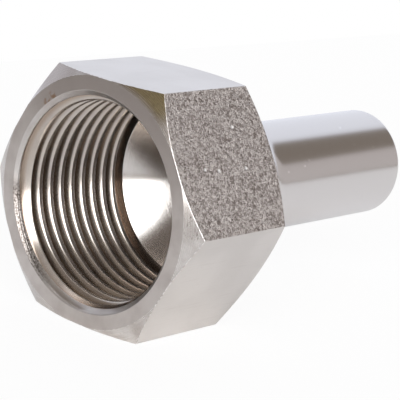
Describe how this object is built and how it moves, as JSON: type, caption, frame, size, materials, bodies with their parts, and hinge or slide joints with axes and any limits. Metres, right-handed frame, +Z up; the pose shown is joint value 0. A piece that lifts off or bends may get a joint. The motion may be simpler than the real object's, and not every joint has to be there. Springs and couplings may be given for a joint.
{
  "type": "press fitting adapter",
  "caption": "Stainless steel pipe adapter: a hexagon with a female pipe thread at one end, and a plain round spigot for a press socket at the other.",
  "frame": {"origin": "on the axis, where the spigot's full diameter begins behind the shoulder's fillet", "axes": "+X along the axis, out of the spigot's open end, with the threaded mouth at -X. +Z is up, square to the hexagon's flat that the part lies on, and +Y points at a hexagon corner."},
  "size_m": [0.066, 0.0438, 0.038],
  "materials": {
    "stainless_steel": "turned face, bore and cone, satin spigot, and grainy hexagon flats"
  },
  "bodies": {
    "root": {"adapter_body": "stainless_steel"}
  },
  "joints": []
}
